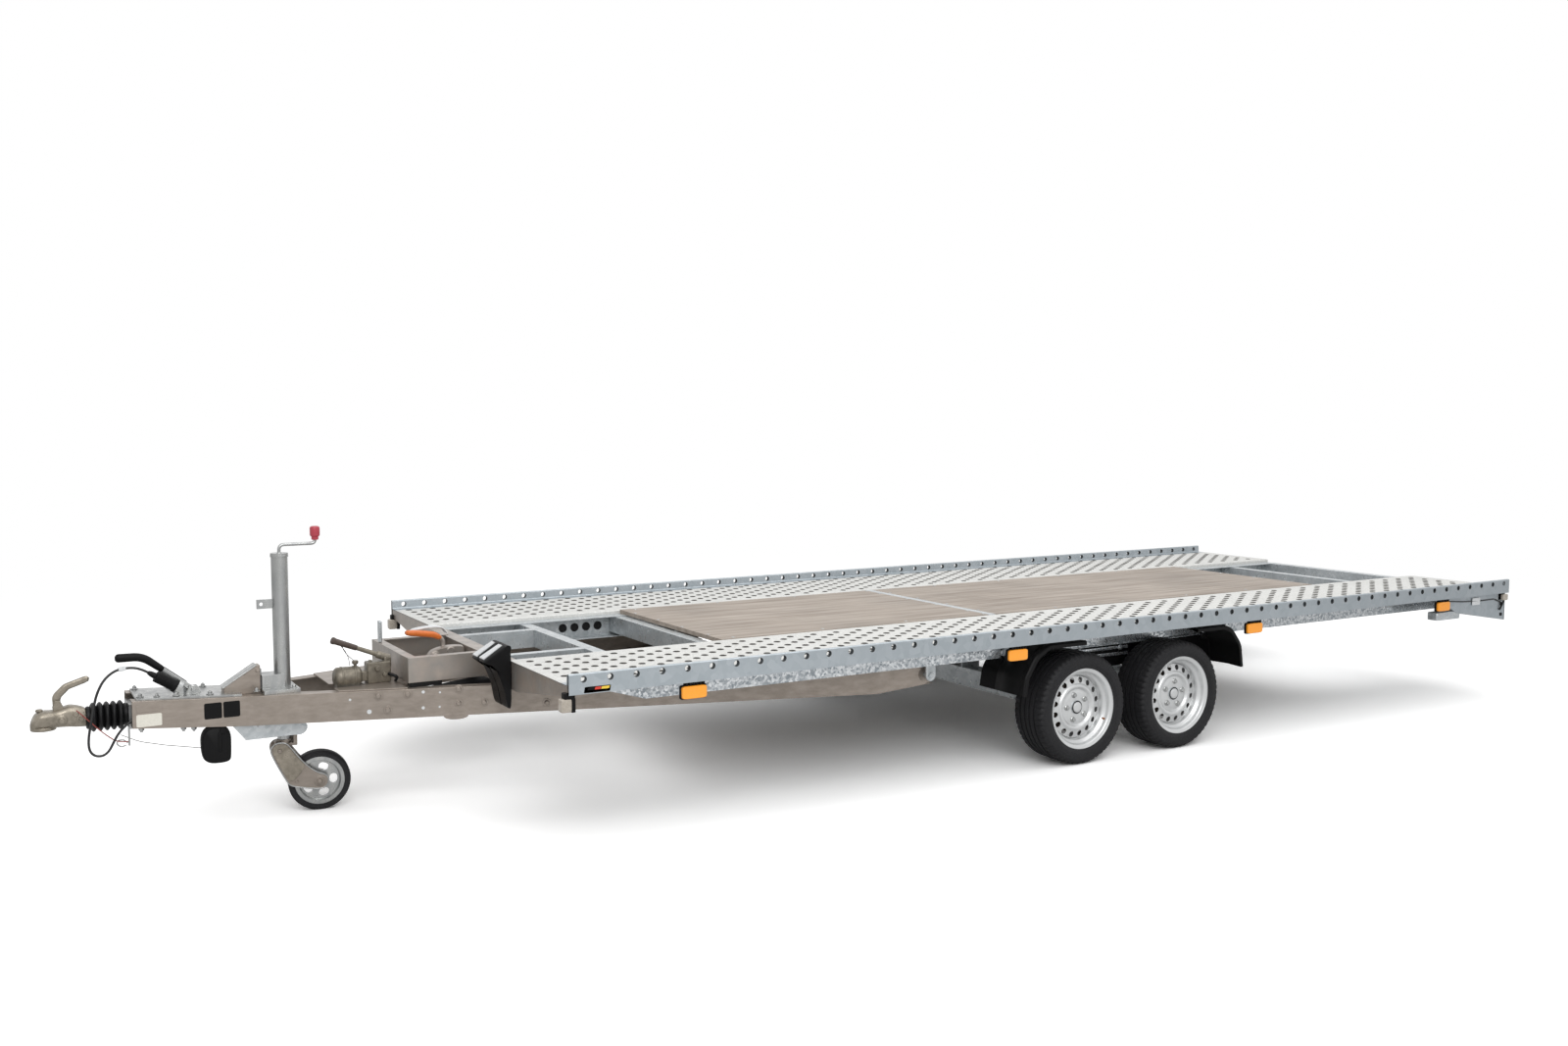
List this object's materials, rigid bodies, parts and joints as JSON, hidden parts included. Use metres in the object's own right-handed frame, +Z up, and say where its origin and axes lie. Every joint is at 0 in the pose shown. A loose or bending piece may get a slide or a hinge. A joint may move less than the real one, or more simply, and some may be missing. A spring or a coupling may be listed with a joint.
{
  "type": "tandem-axle tilting car transporter trailer",
  "caption": "Flat-bed car trailer: galvanised side-railed tilting platform on two axles, V drawbar with overrun coupling, prop jack, hand pump and lift ram",
  "frame": {"origin": "on the ground, at the middle of the overall length and width", "axes": "X forward to the coupling, Y to the trailer's left, Z up"},
  "size_m": [6.976, 2.2, 1.092],
  "materials": {
    "amber_lens": "moulded amber lens",
    "black_plastic": "moulded, matt",
    "black_rubber": "matt rubber",
    "chrome_rod": "polished piston rod",
    "drawbar_steel": "galvanised, dulled brownish grey",
    "drum_iron": "bare cast iron",
    "galvanised_steel": "hot-dip galvanised, light spangle",
    "grip_orange": "moulded orange grip",
    "knob_red": "faded red plastic",
    "plywood": "film-faced brown plywood",
    "tyre_rubber": "tyre black",
    "wheel_silver": "silver enamel",
    "zinc_plate": "yellow-passivated zinc"
  },
  "bodies": {
    "drawbar": {"drawbar_beam_left": "drawbar_steel", "drawbar_beam_right": "drawbar_steel", "drawbar_spreaders": "drawbar_steel", "overrun_housing": "zinc_plate", "bellows": "black_rubber", "coupling_head": "zinc_plate", "coupling_handle": "zinc_plate", "handbrake_lever": "zinc_plate", "brake_spring": "black_plastic", "jack_clamp": "zinc_plate", "hand_pump": "zinc_plate", "pump_lever": "zinc_plate", "ram_base_bracket": "drawbar_steel", "plug": "black_rubber", "plug_cable": "black_rubber", "breakaway_cable": "chrome_rod", "cable_guard": "black_plastic", "jack_guide": "drawbar_steel"},
    "platform": {"axle_front": "galvanised_steel", "axle_rear": "galvanised_steel", "cross_members": "galvanised_steel", "front_beam": "galvanised_steel", "hinge_lugs": "galvanised_steel", "main_beams": "galvanised_steel", "marker_lamps": "amber_lens", "mudguard_brackets": "galvanised_steel", "mudguards": "black_plastic", "nose_frame": "galvanised_steel", "outriggers": "galvanised_steel", "plank_left": "galvanised_steel", "plank_right": "galvanised_steel", "platform_latch": "grip_orange", "plywood_front": "plywood", "plywood_rear": "plywood", "plywood_strip": "galvanised_steel", "ram_lugs": "galvanised_steel", "rear_beam": "galvanised_steel", "rubber_pads": "black_rubber", "side_sills": "galvanised_steel", "wheel_chocks": "black_plastic"},
    "jack_tube": {"jack_tube": "galvanised_steel", "jack_crank": "knob_red"},
    "jack_leg": {"jack_leg": "galvanised_steel"},
    "jack_swivel": {"jack_fork": "galvanised_steel"},
    "jack_wheel": {"jack_wheel": "galvanised_steel", "jack_tyre": "tyre_rubber"},
    "ram_barrel": {"ram_barrel": "black_plastic"},
    "ram_rod": {"ram_rod": "chrome_rod"},
    "wheel_front_left": {"tyre_front_left": "tyre_rubber", "wheel_front_left": "wheel_silver", "brake_drum_front_left": "drum_iron"},
    "wheel_front_right": {"tyre_front_right": "tyre_rubber", "wheel_front_right": "wheel_silver", "brake_drum_front_right": "drum_iron"},
    "wheel_rear_left": {"tyre_rear_left": "tyre_rubber", "wheel_rear_left": "wheel_silver", "brake_drum_rear_left": "drum_iron"},
    "wheel_rear_right": {"tyre_rear_right": "tyre_rubber", "wheel_rear_right": "wheel_silver", "brake_drum_rear_right": "drum_iron"}
  },
  "joints": [
    {"name": "platform_tilt", "type": "hinge", "parent": "drawbar", "child": "platform", "pos_m": [0.238, 0, 0.441], "axis": [0, -1, 0], "range_deg": [0, 11]},
    {"name": "ram_swing", "type": "hinge", "parent": "drawbar", "child": "ram_barrel", "pos_m": [2.162, 0, 0.385], "axis": [0, 1, 0], "range_deg": [0, 19.37]},
    {"name": "ram_extend", "type": "slide", "parent": "ram_barrel", "child": "ram_rod", "axis": [-0.9926, 0, 0.1212], "range_m": [0, 0.0991]},
    {"name": "jack_height", "type": "slide", "parent": "drawbar", "child": "jack_tube", "axis": [0, 0, 1], "range_m": [0, 0.065]},
    {"name": "jack_extend", "type": "slide", "parent": "jack_tube", "child": "jack_leg", "axis": [0, 0, 1], "range_m": [-0.15, 0.005]},
    {"name": "jack_swivel", "type": "hinge", "parent": "jack_leg", "child": "jack_swivel", "pos_m": [2.638, 0.03, 0.278], "axis": [0, 0, 1], "continuous": true},
    {"name": "jack_wheel_spin", "type": "hinge", "parent": "jack_swivel", "child": "jack_wheel", "pos_m": [2.51521, 0.04726, 0.115], "axis": [0.1392, 0.9903, 0], "continuous": true},
    {"name": "wheel_front_left_spin", "type": "hinge", "parent": "platform", "child": "wheel_front_left", "pos_m": [-0.49, 0.958, 0.245], "axis": [0, 1, 0], "continuous": true},
    {"name": "wheel_front_right_spin", "type": "hinge", "parent": "platform", "child": "wheel_front_right", "pos_m": [-0.49, -0.958, 0.245], "axis": [0, 1, 0], "continuous": true},
    {"name": "wheel_rear_left_spin", "type": "hinge", "parent": "platform", "child": "wheel_rear_left", "pos_m": [-1.08, 0.958, 0.245], "axis": [0, 1, 0], "continuous": true},
    {"name": "wheel_rear_right_spin", "type": "hinge", "parent": "platform", "child": "wheel_rear_right", "pos_m": [-1.08, -0.958, 0.245], "axis": [0, 1, 0], "continuous": true}
  ],
  "couplings": [
    {"joint": "ram_swing", "follows": "platform_tilt", "ratio": 1.7156},
    {"joint": "ram_extend", "follows": "platform_tilt", "m_per_rad": 0.50567}
  ]
}
